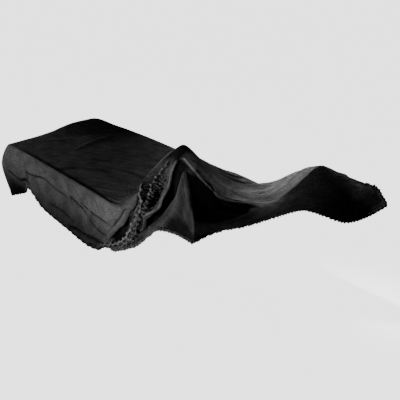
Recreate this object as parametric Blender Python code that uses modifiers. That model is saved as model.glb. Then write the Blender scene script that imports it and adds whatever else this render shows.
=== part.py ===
"""Stretch dust cover for a keyboard instrument, half pulled off.

The cover is one cloth cap: a long top panel with a skirt all round it. Its left two thirds sit as
they fit. The right third is lifted: the near side is pleated and raised to a peak, the top panel
falls from there into a hollow behind a rolled lip, the right end lies across the space it fitted,
and the far right corner is raised with its skirt spread out below it.

The shape is a loft. Each fold line that runs along the cover has a short table, with a row for
each section that it crosses, in millimetres from the near left bottom corner of the box that the
cover fits. The part's own origin is under the top panel, where the box holds it.
"""
import bpy
import bmesh
import numpy as np

for old in list(bpy.data.objects):
    bpy.data.objects.remove(old, do_unlink=True)

# Driving dimensions, in millimetres
MM = 0.001
DEPTH = 275.0            # of the box that the cover fits, near side to far side
HEIGHT = 60.0            # of the cloth's middle above the bottom of that box
SKIRT = 118.0            # drop of the skirt, from the top's edge to the hem
PANEL = 690.0            # length of the top panel as cut; the knit stretches when it is fitted
FITTED = 400.0           # how much of it still sits as it fits
THICK = 1.6              # cloth and its hem's fold
HELD_AT = (250.0, DEPTH / 2, HEIGHT - THICK / 2)

# Sections that the lifted part crosses: distance along the top panel from its left end
SECTIONS = {
    "fitted": FITTED,
    "strip": 438.0,      # bright fold at the left of the bundle
    "gather": 463.0,     # gathered hem, drawn up
    "pocket": 488.0,
    "roll": 516.0,       # thin roll at the right of the bundle
    "fan edge": 545.0,
    "fan rise": 566.0,   # top of the fan that the near skirt spreads into
    "fan": 590.0,
    "fan end": 640.0,
    "slack": 668.0,
    "ridge": PANEL,
}

# Fold lines along the near skirt and its edge: section, x, y, z
NEAR_HEM = (
    (0.0, 4, -8, -62),
    (45.0, 45, 8, -44),
    (84.0, 84, -3, -18),
    (150.0, 150, -5, -42),
    (250.0, 247, -5, -52),
    (340.0, 322, -6, -57),
    ("fitted", 368, -7, -50),
    ("strip", 410, -14, -25),
    ("gather", 446, -20, -16),
    ("pocket", 478, -20, -1),
    ("roll", 500, -14, 11),
    ("fan edge", 532, -5, 41),
    ("fan rise", 549, -1, 58),
    ("fan", 568, 6, 62),
    ("fan end", 598, 13, 62),
    ("slack", 615, 13, 62),
    ("ridge", 629, 13, 62),
)
NEAR_FOLD = (
    (0.0, -24, -12, 6),
    (45.0, 42, -8, 6),
    (84.0, 84, -5, 26),
    (170.0, 170, -6, 32),
    (250.0, 250, -6, 26),
    (340.0, 340, -7, 17),
    ("fitted", 396, -8, 12),
    ("strip", 444, -14, 24),
    ("gather", 486, -17, 38),
    ("pocket", 512, -12, 56),
    ("roll", 526, 2, 80),
    ("fan edge", 541, 18, 72),
    ("fan rise", 550, 34, 90),
    ("fan", 565, 34, 90),
    ("fan end", 594, 30, 86),
    ("ridge", 628, 16, 80),
)
NEAR_EDGE = (
    (0.0, 0, 0, 60),
    ("fitted", 404, 0, 60),
    ("strip", 464, -3, 60),
    ("gather", 500, 0, 92),
    ("pocket", 508, 20, 101),
    ("roll", 528, 22, 96),
    ("fan edge", 538, 48, 103),
    ("fan rise", 526, 78, 138),
    ("fan", 541, 72, 120),
    ("fan end", 582, 46, 109),
    ("slack", 607, 31, 104),
    ("ridge", 624, 20, 97),
)

# Fold lines along the top panel
HOLLOW = (
    (0.0, -8, 60, 60),
    (50.0, 50, 60, 61),
    ("fitted", 402, 60, 61),
    ("strip", 461, 24, 87),
    ("gather", 490, 10, 116),
    ("pocket", 502, 44, 122),
    ("roll", 516, 48, 122),
    ("fan edge", 511, 68, 136),
    ("fan rise", 527, 98, 122),
    ("fan", 566, 90, 68),
    ("fan end", 596, 88, 64),
    ("slack", 613, 80, 66),
    ("ridge", 625, 60, 84),
)
LIP_FOOT = (
    (0.0, -14, 115, 63),
    (50.0, 50, 115, 61),
    ("fitted", 400, 115, 62),
    ("strip", 462, 62, 130),
    ("gather", 482, 62, 148),
    ("pocket", 494, 78, 156),
    ("roll", 500, 80, 154),
    ("fan edge", 503, 92, 153),
    ("fan rise", 528, 112, 117),
    ("fan", 572, 144, 68),
    ("fan end", 602, 160, 66),
    ("slack", 616, 140, 67),
    ("ridge", 625, 120, 78),
)
LIP = (
    (0.0, -16, 143, 68),
    (50.0, 50, 143, 62),
    ("fitted", 400, 143, 62),
    ("strip", 466, 98, 150),
    ("gather", 480, 102, 164),
    ("pocket", 489, 104, 171),
    ("roll", 497, 105, 168),
    ("fan edge", 502, 107, 158),
    ("fan rise", 519, 116, 128),
    ("fan", 558, 126, 93),
    ("fan end", 591, 150, 85),
    ("slack", 611, 172, 79),
    ("ridge", 624, 176, 78),
)
CREASE = (
    (0.0, -16, 176, 73),
    (50.0, 50, 176, 63),
    ("fitted", 400, 176, 61),
    ("strip", 452, 160, 120),
    ("gather", 468, 160, 128),
    ("pocket", 480, 160, 126),
    ("roll", 490, 162, 118),
    ("fan edge", 502, 166, 108),
    ("fan rise", 528, 176, 86),
    ("fan", 563, 182, 76),
    ("fan end", 598, 190, 75),
    ("slack", 613, 198, 78),
    ("ridge", 625, 206, 82),
)
FAR_SLOPE = (
    (0.0, -15, 226, 74),
    (50.0, 50, 226, 64),
    ("fitted", 400, 226, 61),
    ("strip", 446, 226, 80),
    ("gather", 466, 226, 86),
    ("pocket", 486, 226, 86),
    ("roll", 510, 227, 80),
    ("fan edge", 534, 229, 75),
    ("fan rise", 558, 232, 73),
    ("fan", 584, 236, 82),
    ("fan end", 610, 240, 93),
    ("ridge", 634, 246, 103),
)
FAR_EDGE = (
    (0.0, -6, 269, 54),
    (60.0, 60, 273, 58),
    (200.0, 200, 275, 60),
    ("fitted", 400, 275, 60),
    ("pocket", 492, 275, 60),
    ("roll", 520, 276, 60),
    ("fan edge", 555, 278, 79),
    ("fan", 592, 280, 106),
    ("fan end", 630, 281, 130),
    ("ridge", 662, 281, 143),
)

# Fold lines along the far skirt
FAR_FOLD = (
    (0.0, -4, 280, 4),
    ("fitted", 400, 281, 2),
    ("pocket", 496, 283, 16),
    ("fan edge", 566, 287, 44),
    ("fan", 602, 289, 78),
    ("fan end", 652, 291, 112),
    ("slack", 700, 293, 134),
    ("ridge", 728, 287, 132),
)
FAR_HEM = (
    (0.0, 2, 279, -58),
    ("fitted", 402, 281, -57),
    ("pocket", 500, 286, -24),
    ("fan edge", 556, 290, 12),
    ("fan", 612, 293, 50),
    ("fan end", 700, 297, 112),
    ("slack", 764, 294, 134),
    ("ridge", 798, 289, 112),
)

# The fold lines in order round the cover, each with its distance across the cloth
LINES = (
    (-SKIRT, NEAR_HEM),
    (-SKIRT / 2, NEAR_FOLD),
    (0.0, NEAR_EDGE),
    (60.0, HOLLOW),
    (115.0, LIP_FOOT),
    (143.0, LIP),
    (176.0, CREASE),
    (226.0, FAR_SLOPE),
    (DEPTH, FAR_EDGE),
    (DEPTH + SKIRT / 2, FAR_FOLD),
    (DEPTH + SKIRT, FAR_HEM),
)

# Hems of the two end skirts: distance across the top panel, x, y, z
LEFT_HEM = (
    (0.0, 4, -8, -62),
    (60.0, -2, 45, -57),
    (143.0, -4, 137, -58),
    (DEPTH, 2, 279, -58),
)
RIGHT_HEM = (
    (0.0, 629, 13, 62),
    (60.0, 621, 56, 62),
    (90.0, 623, 84, 62),
    (115.0, 633, 112, 62),
    (176.0, 641, 186, 62),
    (226.0, 652, 250, 62),
    (248.0, 716, 281, 53),
    (262.0, 764, 286, 80),
    (DEPTH, 798, 289, 112),
)

# Valleys of the bundle's pleats: from one crest to the next, and how far the cloth goes in
PLEATS = (
    ("strip", "gather", 14.0),
    ("gather", "pocket", 9.0),
    ("pocket", "roll", 20.0),
    ("roll", "fan edge", 14.0),
)
PLEAT_IN = np.array((-0.30, 0.95, 0.0))
PLEAT_SHARES = (         # distance across the cloth, share of the depth there
    (-SKIRT, 0.30),
    (-SKIRT / 2, 0.40),
    (0.0, 1.00),
    (60.0, 0.25),
    (115.0, 0.0),
)
CLEAR = 3.0              # the cloth's middle stays this far outside the near side of the box
OVER_EDGE = 1.2          # and above its top it leans in by this much for each millimetre that it rises

# Grid of the cloth: how many faces lie between one named place and the next
ALONG_STEPS = (
    (0.0, FITTED, 16),
    (FITTED, SECTIONS["strip"], 4),
    (SECTIONS["strip"], SECTIONS["fan edge"], 20),
    (SECTIONS["fan edge"], SECTIONS["fan rise"], 4),
    (SECTIONS["fan rise"], PANEL, 10),
)
ACROSS_STEPS = (
    (0.0, 60.0, 6),
    (60.0, 143.0, 7),
    (143.0, DEPTH, 9),
)
SKIRT_STEPS = 6
CORNER_PULL = 4           # power by which an end skirt keeps its own form away from its corners
WELD = 0.05              # points of two patches this close are one


def slopes(at, values):
    """Slope of a smooth curve at each of its points that never overshoots them."""
    gaps = np.diff(at)
    rise = np.diff(values, axis=0) / gaps[:, None]
    slope = np.zeros_like(values)
    slope[0], slope[-1] = rise[0], rise[-1]
    for i in range(1, len(at) - 1):
        same_way = rise[i - 1] * rise[i] > 0
        before = 2 * gaps[i] + gaps[i - 1]
        after = gaps[i] + 2 * gaps[i - 1]
        safe = np.where(same_way, rise[i - 1] * rise[i], 1.0)
        mean = (before + after) * safe / np.where(same_way, before * rise[i] + after * rise[i - 1], 1.0)
        slope[i] = np.where(same_way, mean, 0.0)
    return slope


def curve(at, values, where):
    """Points of the smooth curve through values, which lie at the distances at."""
    at = np.asarray(at, float)
    values = np.asarray(values, float)
    slope = slopes(at, values)
    points = []
    for place in where:
        i = int(np.clip(np.searchsorted(at, place) - 1, 0, len(at) - 2))
        gap = at[i + 1] - at[i]
        t = (place - at[i]) / gap
        points.append((2 * t**3 - 3 * t**2 + 1) * values[i] + (t**3 - 2 * t**2 + t) * gap * slope[i]
                      + (3 * t**2 - 2 * t**3) * values[i + 1] + (t**3 - t**2) * gap * slope[i + 1])
    return np.array(points)


def line_points(table, where):
    """Points of one fold line at the given distances."""
    at = [SECTIONS.get(row[0], row[0]) for row in table]
    return curve(at, [row[1:] for row in table], where)


def steps(stretches):
    """Distances of the grid's rows or columns, from its named stretches."""
    places = [stretches[0][0]]
    for start, end, count in stretches:
        places += [start + (end - start) * (i + 1) / count for i in range(count)]
    return places


def pleat_depth(along):
    """How far the bundle's pleats push the cloth in at this distance along the cover."""
    for crest, next_crest, depth in PLEATS:
        start, end = SECTIONS[crest], SECTIONS[next_crest]
        if start < along < end:
            return depth * np.sin(np.pi * (along - start) / (end - start)) ** 2
    return 0.0


def pleat_share(across):
    """The pleats open from the hem to the near edge and close towards the peak."""
    if across >= PLEAT_SHARES[-1][0]:
        return 0.0
    return curve([row[0] for row in PLEAT_SHARES], [row[1:] for row in PLEAT_SHARES], [across])[0, 0]


def cloth_grid():
    """The top panel with its near and far skirts, as a grid of points."""
    along = steps(ALONG_STEPS)
    across = ([-SKIRT + SKIRT * k / SKIRT_STEPS for k in range(SKIRT_STEPS)] + steps(ACROSS_STEPS)
              + [DEPTH + SKIRT * (k + 1) / SKIRT_STEPS for k in range(SKIRT_STEPS)])
    lines = np.array([line_points(table, along) for _, table in LINES])
    grid = np.array([curve([at for at, _ in LINES], lines[:, i], across) for i in range(len(along))])
    for i, place in enumerate(along):
        for j, distance in enumerate(across):
            grid[i, j] += PLEAT_IN * pleat_depth(place) * pleat_share(distance)
            if FITTED < place < SECTIONS["fan rise"] and distance < 0:
                rise = max(grid[i, j, 2] - HEIGHT, 0.0)
                grid[i, j, 1] = min(grid[i, j, 1], OVER_EDGE * rise - CLEAR)
    return grid


def end_skirt(edge, near_corner, far_corner, hem_table, bulge):
    """An end skirt between the top panel's end and its hem; its sides meet the long skirts."""
    across = steps(ACROSS_STEPS)
    hem = line_points(hem_table, across)
    rows = []
    for k in range(SKIRT_STEPS + 1):
        share = k / SKIRT_STEPS
        row = edge * (1 - share) + hem * share
        row[:, 0] += bulge * np.sin(np.pi * share)
        side = np.linspace(0.0, 1.0, len(edge))[:, None]
        row += (1 - side) ** CORNER_PULL * (near_corner[k] - row[0])
        row += side ** CORNER_PULL * (far_corner[k] - row[-1])
        rows.append(row)
    return np.array(rows)


def add_patch(mesh, grid):
    """Add a grid of points as faces."""
    corners = [[mesh.verts.new((np.array(point) - HELD_AT) * MM) for point in row] for row in grid]
    for i in range(len(corners) - 1):
        for j in range(len(corners[0]) - 1):
            mesh.faces.new((corners[i][j], corners[i + 1][j], corners[i + 1][j + 1], corners[i][j + 1]))


def make_cloth_material():
    """Black stretch knit."""
    material = bpy.data.materials.new("black_stretch_knit")
    material.use_nodes = True
    shader = material.node_tree.nodes["Principled BSDF"]
    shader.inputs["Base Color"].default_value = (0.018, 0.018, 0.019, 1.0)
    shader.inputs["Roughness"].default_value = 0.85
    shader.inputs["Metallic"].default_value = 0.0
    return material


def make_cover(collection):
    """The whole cover: top panel, four skirts and the hem in one cloth of one thickness."""
    grid = cloth_grid()
    top = slice(SKIRT_STEPS, grid.shape[1] - SKIRT_STEPS)
    left = end_skirt(grid[0, top], grid[0, SKIRT_STEPS::-1], grid[0, -SKIRT_STEPS - 1:], LEFT_HEM, -12.0)
    right = end_skirt(grid[-1, top], grid[-1, SKIRT_STEPS::-1], grid[-1, -SKIRT_STEPS - 1:], RIGHT_HEM, 6.0)
    shape = bmesh.new()
    for patch in (grid, left, right):
        add_patch(shape, patch)
    bmesh.ops.remove_doubles(shape, verts=shape.verts, dist=WELD * MM)
    bmesh.ops.recalc_face_normals(shape, faces=shape.faces)
    highest = max(shape.faces, key=lambda face: face.calc_center_median().z)
    if highest.normal.z < 0:
        bmesh.ops.reverse_faces(shape, faces=shape.faces)
    mesh = bpy.data.meshes.new("cover_cloth")
    shape.to_mesh(mesh)
    shape.free()
    mesh.materials.append(make_cloth_material())
    mesh.shade_smooth()
    cover = bpy.data.objects.new("cover_cloth", mesh)
    collection.objects.link(cover)
    wall = cover.modifiers.new("cloth thickness", "SOLIDIFY")
    wall.thickness = THICK * MM
    wall.offset = 0.0
    return cover


parts = bpy.data.collections.new("keyboard_dust_cover")
bpy.context.scene.collection.children.link(parts)
make_cover(parts)
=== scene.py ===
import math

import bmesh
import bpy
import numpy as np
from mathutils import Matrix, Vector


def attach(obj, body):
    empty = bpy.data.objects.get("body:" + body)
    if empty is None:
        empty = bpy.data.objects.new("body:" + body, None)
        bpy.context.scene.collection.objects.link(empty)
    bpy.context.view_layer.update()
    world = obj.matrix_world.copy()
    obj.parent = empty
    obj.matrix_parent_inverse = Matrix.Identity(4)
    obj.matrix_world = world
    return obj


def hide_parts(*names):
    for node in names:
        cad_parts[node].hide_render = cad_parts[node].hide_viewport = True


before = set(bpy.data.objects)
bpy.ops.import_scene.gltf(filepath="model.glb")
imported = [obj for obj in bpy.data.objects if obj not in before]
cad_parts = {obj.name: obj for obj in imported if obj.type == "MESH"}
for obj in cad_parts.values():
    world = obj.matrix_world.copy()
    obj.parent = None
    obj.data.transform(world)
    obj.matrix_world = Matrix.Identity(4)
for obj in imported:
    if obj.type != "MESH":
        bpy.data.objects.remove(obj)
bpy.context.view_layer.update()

# %% [markdown]
# # A stretch dust cover, half pulled off
#
# The object is one cap of thin black stretch knit: a long top panel, a skirt sewn up at its corners,
# and an elastic hem. Two thirds of it still sit as they fit. On the right the near skirt is pleated
# up into a peak, the top falls behind it into a dark hollow, and the far corner is raised. Pulled
# cloth has few straight lines, so the way taken is a loft: fold lines are written down as short
# tables, smooth curves run through them, and small creases are pressed into the surface afterwards.

MM = 0.001
bpy.ops.object.select_all(action="DESELECT")

# %% [markdown]
# ## The cut of the cloth
#
# Every point of the cover has an address on the flat cloth: how far along the top panel it lies, and
# how far across from the near edge. The skirts go on past 0 and past the panel's depth. Creases,
# stitches and the knit's pattern are placed by address, so they follow the cloth.

# %% Sizes of the cut, in millimetres
DEPTH = 275.0  # of the top panel, near side to far side
HEIGHT = 60.0  # of the fitted top above the zero level of the tables
SKIRT = 118.0  # drop of the skirt, from the top's edge to the hem
PANEL = 690.0  # length of the top panel as cut
FITTED = 400.0  # how much of it still sits as it fits
SOLID_WALL = 1.6  # thickness of the cover's solid, which sets the origin's height
KNIT = 1.1  # thickness of the knit itself
HELD_AT = np.array((250.0, DEPTH / 2, HEIGHT - SOLID_WALL / 2))

SECTIONS = {
    "fitted": FITTED,
    "strip": 438.0,  # bright fold at the left of the bundle
    "gather": 463.0,  # gathered hem, drawn up
    "pocket": 488.0,
    "roll": 516.0,  # thin roll at the right of the bundle
    "fan edge": 545.0,
    "fan rise": 566.0,  # top of the fan that the near skirt spreads into
    "fan": 590.0,
    "fan end": 640.0,
    "slack": 668.0,
    "ridge": PANEL,
}

# %% [markdown]
# ## Fold lines
#
# Each table is one line that runs along the cover, such as the near hem or the rolled lip. A row
# gives the section that the line crosses there, and the x, y and z of the crossing. Eleven lines are
# enough for the whole cap, and each can be moved by itself, which a simulated sheet would not allow.
# The first three are the near skirt and the edge that it hangs from.

# %% Near skirt and near edge: section, x, y, z
NEAR_HEM = (
    (0.0, 4, -8, -62), (45.0, 45, 8, -44), (84.0, 84, -3, -18), (150.0, 150, -5, -42),
    (250.0, 247, -5, -52), (340.0, 322, -6, -57), ("fitted", 368, -7, -50), ("strip", 410, -14, -25),
    ("gather", 446, -20, -16), ("pocket", 478, -20, -1), ("roll", 500, -14, 11),
    ("fan edge", 532, -5, 41), ("fan rise", 549, -1, 58), ("fan", 568, 6, 62),
    ("fan end", 598, 13, 62), ("slack", 615, 13, 62), ("ridge", 629, 13, 62),
)
NEAR_FOLD = (
    (0.0, -24, -12, 6), (45.0, 42, -8, 6), (84.0, 84, -5, 26), (170.0, 170, -6, 32),
    (250.0, 250, -6, 26), (340.0, 340, -7, 17), ("fitted", 396, -8, 12), ("strip", 444, -14, 24),
    ("gather", 486, -17, 38), ("pocket", 512, -12, 56), ("roll", 526, 2, 80),
    ("fan edge", 541, 18, 72), ("fan rise", 550, 34, 90), ("fan", 565, 34, 90),
    ("fan end", 594, 30, 86), ("ridge", 628, 16, 80),
)
NEAR_EDGE = (
    (0.0, 0, 0, 60), ("fitted", 404, 0, 60), ("strip", 464, -3, 60), ("gather", 500, 0, 92),
    ("pocket", 508, 20, 101), ("roll", 528, 22, 96), ("fan edge", 538, 48, 103),
    ("fan rise", 526, 78, 138), ("fan", 541, 72, 120), ("fan end", 582, 46, 109),
    ("slack", 607, 31, 104), ("ridge", 624, 20, 97),
)
print("near crossings:", len(NEAR_HEM), len(NEAR_FOLD), len(NEAR_EDGE))

# %% [markdown]
# The top panel has six more, from the hollow's floor over its rolled lip to the far edge. On the
# fitted part they lie flat. Past it they drop into the hollow and climb out again.

# %% Top panel: section, x, y, z
HOLLOW = (
    (0.0, -8, 60, 60), (50.0, 50, 60, 61), ("fitted", 402, 60, 61), ("strip", 461, 24, 87),
    ("gather", 490, 10, 116), ("pocket", 502, 44, 122), ("roll", 516, 48, 122),
    ("fan edge", 511, 68, 136), ("fan rise", 527, 98, 122), ("fan", 566, 90, 68),
    ("fan end", 596, 88, 64), ("slack", 613, 80, 66), ("ridge", 625, 60, 84),
)
LIP_FOOT = (
    (0.0, -14, 115, 63), (50.0, 50, 115, 61), ("fitted", 400, 115, 62), ("strip", 462, 62, 130),
    ("gather", 482, 62, 148), ("pocket", 494, 78, 156), ("roll", 500, 80, 154),
    ("fan edge", 503, 92, 153), ("fan rise", 528, 112, 117), ("fan", 572, 144, 68),
    ("fan end", 602, 160, 66), ("slack", 616, 140, 67), ("ridge", 625, 120, 78),
)
LIP = (
    (0.0, -16, 143, 68), (50.0, 50, 143, 62), ("fitted", 400, 143, 62), ("strip", 466, 98, 150),
    ("gather", 480, 102, 164), ("pocket", 489, 104, 171), ("roll", 497, 105, 168),
    ("fan edge", 502, 107, 158), ("fan rise", 519, 116, 128), ("fan", 558, 126, 93),
    ("fan end", 591, 150, 85), ("slack", 611, 172, 79), ("ridge", 624, 176, 78),
)
CREASE = (
    (0.0, -16, 176, 73), (50.0, 50, 176, 63), ("fitted", 400, 176, 61), ("strip", 452, 160, 120),
    ("gather", 468, 160, 128), ("pocket", 480, 160, 126), ("roll", 490, 162, 118),
    ("fan edge", 502, 166, 108), ("fan rise", 528, 176, 86), ("fan", 563, 182, 76),
    ("fan end", 598, 190, 75), ("slack", 613, 198, 78), ("ridge", 625, 206, 82),
)
FAR_SLOPE = (
    (0.0, -15, 226, 74), (50.0, 50, 226, 64), ("fitted", 400, 226, 61), ("strip", 446, 226, 80),
    ("gather", 466, 226, 86), ("pocket", 486, 226, 86), ("roll", 510, 227, 80),
    ("fan edge", 534, 229, 75), ("fan rise", 558, 232, 73), ("fan", 584, 236, 82),
    ("fan end", 610, 240, 93), ("ridge", 634, 246, 103),
)
FAR_EDGE = (
    (0.0, -6, 269, 54), (60.0, 60, 273, 58), (200.0, 200, 275, 60), ("fitted", 400, 275, 60),
    ("pocket", 492, 275, 60), ("roll", 520, 276, 60), ("fan edge", 555, 278, 79),
    ("fan", 592, 280, 106), ("fan end", 630, 281, 130), ("ridge", 662, 281, 143),
)
print("top crossings:", sum(len(line) for line in (HOLLOW, LIP_FOOT, LIP, CREASE, FAR_SLOPE, FAR_EDGE)))

# %% [markdown]
# The far skirt ends in the raised corner. The hems of the two end skirts run across the cover, so
# their first column is the distance across instead.

# %% Far skirt and the hems of the two end skirts
FAR_FOLD = (
    (0.0, -4, 280, 4), ("fitted", 400, 281, 2), ("pocket", 496, 283, 16), ("fan edge", 566, 287, 44),
    ("fan", 602, 289, 78), ("fan end", 652, 291, 112), ("slack", 700, 293, 134),
    ("ridge", 728, 287, 132),
)
FAR_HEM = (
    (0.0, 2, 279, -58), ("fitted", 402, 281, -57), ("pocket", 500, 286, -24),
    ("fan edge", 556, 290, 12), ("fan", 612, 293, 50), ("fan end", 700, 297, 112),
    ("slack", 764, 294, 134), ("ridge", 798, 289, 112),
)
LEFT_HEM = ((0.0, 4, -8, -62), (60.0, -2, 45, -57), (143.0, -4, 137, -58), (DEPTH, 2, 279, -58))
RIGHT_HEM = (
    (0.0, 629, 13, 62), (60.0, 621, 56, 62), (90.0, 623, 84, 62), (115.0, 633, 112, 62),
    (176.0, 641, 186, 62), (226.0, 652, 250, 62), (248.0, 716, 281, 53), (262.0, 764, 286, 80),
    (DEPTH, 798, 289, 112),
)
LINES = (
    (-SKIRT, NEAR_HEM), (-SKIRT / 2, NEAR_FOLD), (0.0, NEAR_EDGE), (60.0, HOLLOW),
    (115.0, LIP_FOOT), (143.0, LIP), (176.0, CREASE), (226.0, FAR_SLOPE), (DEPTH, FAR_EDGE),
    (DEPTH + SKIRT / 2, FAR_FOLD), (DEPTH + SKIRT, FAR_HEM),
)
print("fold lines:", len(LINES), "with", sum(len(table) for _, table in LINES), "crossings")

# %% [markdown]
# ## A curve that never overshoots
#
# An ordinary spline swings past its points, and a few millimetres are enough to push one layer of a
# pleat through the next. This curve keeps every stretch between the two values at its ends. Its slope
# is the weighted harmonic mean where neighbouring stretches rise the same way, and level at a peak or
# a valley.

# %% Smooth curves through table rows
def slopes(gaps, rise):
    """Slope at each point of a curve that never overshoots."""
    slope = np.zeros((len(gaps) + 1,) + rise.shape[1:])
    slope[0], slope[-1] = rise[0], rise[-1]
    before, after = 2 * gaps[1:] + gaps[:-1], gaps[1:] + 2 * gaps[:-1]
    same_way = rise[:-1] * rise[1:] > 0
    weight = np.where(same_way, before * rise[1:] + after * rise[:-1], 1.0)
    slope[1:-1] = np.where(same_way, (before + after) * rise[:-1] * rise[1:] / weight, 0.0)
    return slope


def curve(at, values, where):
    """Values of the smooth curve at the distances where."""
    at, values, where = np.asarray(at, float), np.asarray(values, float), np.asarray(where, float)
    lift = (-1,) + (1,) * (values.ndim - 1)
    gaps = np.diff(at).reshape(lift)
    slope = slopes(gaps, np.diff(values, axis=0) / gaps)
    i = np.clip(np.searchsorted(at, where) - 1, 0, len(at) - 2)
    gap = gaps[i]
    t = ((where - at[i]) / np.diff(at)[i]).reshape(lift)
    return ((2 * t**3 - 3 * t**2 + 1) * values[i] + (t**3 - 2 * t**2 + t) * gap * slope[i]
            + (3 * t**2 - 2 * t**3) * values[i + 1] + (t**3 - t**2) * gap * slope[i + 1])


def line_points(table, where):
    """Points of one fold line at the given distances."""
    at = [SECTIONS.get(row[0], row[0]) for row in table]
    return curve(at, [row[1:] for row in table], where)


print("near edge at the strip, mm:", line_points(NEAR_EDGE, [SECTIONS["strip"]])[0])

# %% [markdown]
# ## How fine the sheet is
#
# Faces are small where the cloth is crowded: the bundle of pleats takes a third of the columns on a
# sixth of the length. The last millimetres before the hem have rows of their own, for the turned hem
# and its line of stitches.

# %% Rows and columns
def steps(*stretches):
    """Distances of the grid's rows or columns: each stretch is start, end and number of faces."""
    places = [stretches[0][0]]
    for start, end, count in stretches:
        places += [start + (end - start) * (i + 1) / count for i in range(count)]
    return np.array(places)


HEM_ZONE = 14.0
ALONG = steps((0.0, FITTED, 84), (FITTED, SECTIONS["strip"], 18),
              (SECTIONS["strip"], SECTIONS["fan edge"], 76),
              (SECTIONS["fan edge"], SECTIONS["fan rise"], 12), (SECTIONS["fan rise"], PANEL, 34))
TOP_ACROSS = steps((0.0, 60.0, 22), (60.0, 143.0, 22), (143.0, DEPTH, 28))
DROP = steps((0.0, SKIRT - HEM_ZONE, 41), (SKIRT - HEM_ZONE, SKIRT, 9))
ACROSS = np.concatenate([-DROP[:0:-1], TOP_ACROSS, DEPTH + DROP[1:]])
SKIRT_ROWS = len(DROP) - 1
print("grid:", len(ALONG), "columns by", len(ACROSS), "rows")

# %% [markdown]
# ## Pleats of the bundle
#
# Where the skirt is drawn up, the cloth goes in and out in four valleys between the crests named in
# the sections. They open from the hem to the near edge and close towards the peak, and they push away
# from the viewer and a little to the left.

# %% Pleats
PLEATS = (  # crest, next crest, depth of the valley between them
    ("strip", "gather", 14.0),
    ("gather", "pocket", 9.0),
    ("pocket", "roll", 20.0),
    ("roll", "fan edge", 14.0),
)
PLEAT_IN = np.array((-0.30, 0.95, 0.0))
PLEAT_SHARES = ((-SKIRT, 0.30), (-SKIRT / 2, 0.40), (0.0, 1.00), (60.0, 0.25), (115.0, 0.0))


def pleat_depths(along):
    """How far the pleats push the cloth in, at each distance along."""
    depth = np.zeros(len(along))
    for crest, next_crest, deep in PLEATS:
        start, end = SECTIONS[crest], SECTIONS[next_crest]
        inside = (along > start) & (along < end)
        depth[inside] = deep * np.sin(np.pi * (along[inside] - start) / (end - start)) ** 2
    return depth


def pleat_shares(across):
    """The share of that depth at each distance across."""
    at = [row[0] for row in PLEAT_SHARES]
    share = curve(at, [row[1:] for row in PLEAT_SHARES], np.minimum(across, at[-1]))[:, 0]
    return np.where(across < at[-1], share, 0.0)


print("deepest pleat, mm:", round(pleat_depths(ALONG).max(), 1))

# %% [markdown]
# ## The loft
#
# The lines give eleven points at each distance along. A second set of curves runs through these
# across the cloth, and the pleats are pushed into the result. Where the near skirt is lifted, it is
# kept outside the near side of the box that the cover fits.

# %% The lofted cloth
CLEAR = 3.0  # the cloth's middle stays this far outside the near side of the box
OVER_EDGE = 1.2  # and above its top it leans in by this much for each millimetre of rise


def lofted_cloth(along, across):
    """The top panel with its near and far skirts, as a grid of points in millimetres."""
    lines = np.array([line_points(table, along) for _, table in LINES])
    grid = curve([at for at, _ in LINES], lines, across).transpose(1, 0, 2)
    grid += PLEAT_IN * (pleat_depths(along)[:, None] * pleat_shares(across)[None, :])[:, :, None]
    lifted = (along > FITTED) & (along < SECTIONS["fan rise"])
    zone = lifted[:, None] & (across < 0)[None, :]
    limit = OVER_EDGE * np.maximum(grid[:, :, 2] - HEIGHT, 0.0) - CLEAR
    grid[:, :, 1] = np.where(zone, np.minimum(grid[:, :, 1], limit), grid[:, :, 1])
    return grid


cloth = lofted_cloth(ALONG, ACROSS)
print("highest point, mm:", round(cloth[:, :, 2].max()), "lowest:", round(cloth[:, :, 2].min()))

# %% [markdown]
# ## Pressing creases into the surface
#
# A crease is a short line of addresses with a height and a width. Its profile is a soft ridge, or a
# trough when the height is negative, with a weaker one of the opposite sign beside it, because cloth
# pinched up in one place is short of length in the next. Both ends fade out. Distances are measured
# in space, so a crease keeps its width where the sheet is crowded.

# %% Addresses and normals
def address_grid(alongs, acrosses):
    """Every pair of a distance along and a distance across, as a grid of addresses."""
    return np.stack(np.meshgrid(alongs, acrosses, indexing="ij"), axis=2)


def unit(vectors):
    """The vectors, each with length 1."""
    return vectors / (np.linalg.norm(vectors, axis=-1, keepdims=True) + 1e-9)


def surface_normals(grid):
    """Unit normals of the grid, evened out over neighbouring points."""
    normal = unit(np.cross(np.gradient(grid, axis=0), np.gradient(grid, axis=1)))
    for _ in range(2):
        padded = np.pad(normal, ((1, 1), (1, 1), (0, 0)), mode="edge")
        normal = unit(padded[:-2, 1:-1] + padded[2:, 1:-1] + padded[1:-1, :-2] + padded[1:-1, 2:]
                      + 2 * padded[1:-1, 1:-1])
    return normal


ADDRESS = address_grid(ALONG, ACROSS)
normal = surface_normals(cloth)
relief = np.zeros(cloth.shape[:2])
print("points with an address:", relief.size)

# %% [markdown]
# Two more tools come first: one looks up the point at any address, and one draws a smooth route
# through a few addresses.

# %% Places and routes on the cloth
def at_address(grid, points):
    """Points of the grid at addresses (along, across), between its rows and columns."""
    points = np.asarray(points, float)
    i = np.clip(np.searchsorted(ALONG, points[:, 0]) - 1, 0, len(ALONG) - 2)
    j = np.clip(np.searchsorted(ACROSS, points[:, 1]) - 1, 0, len(ACROSS) - 2)
    u = ((points[:, 0] - ALONG[i]) / (ALONG[i + 1] - ALONG[i]))[:, None]
    v = ((points[:, 1] - ACROSS[j]) / (ACROSS[j + 1] - ACROSS[j]))[:, None]
    return ((1 - u) * (1 - v) * grid[i, j] + u * (1 - v) * grid[i + 1, j]
            + (1 - u) * v * grid[i, j + 1] + u * v * grid[i + 1, j + 1])


def along_line(points):
    """Distance travelled to each point of a line."""
    return np.concatenate([[0.0], np.cumsum(np.linalg.norm(np.diff(points, axis=0), axis=1))])


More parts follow.
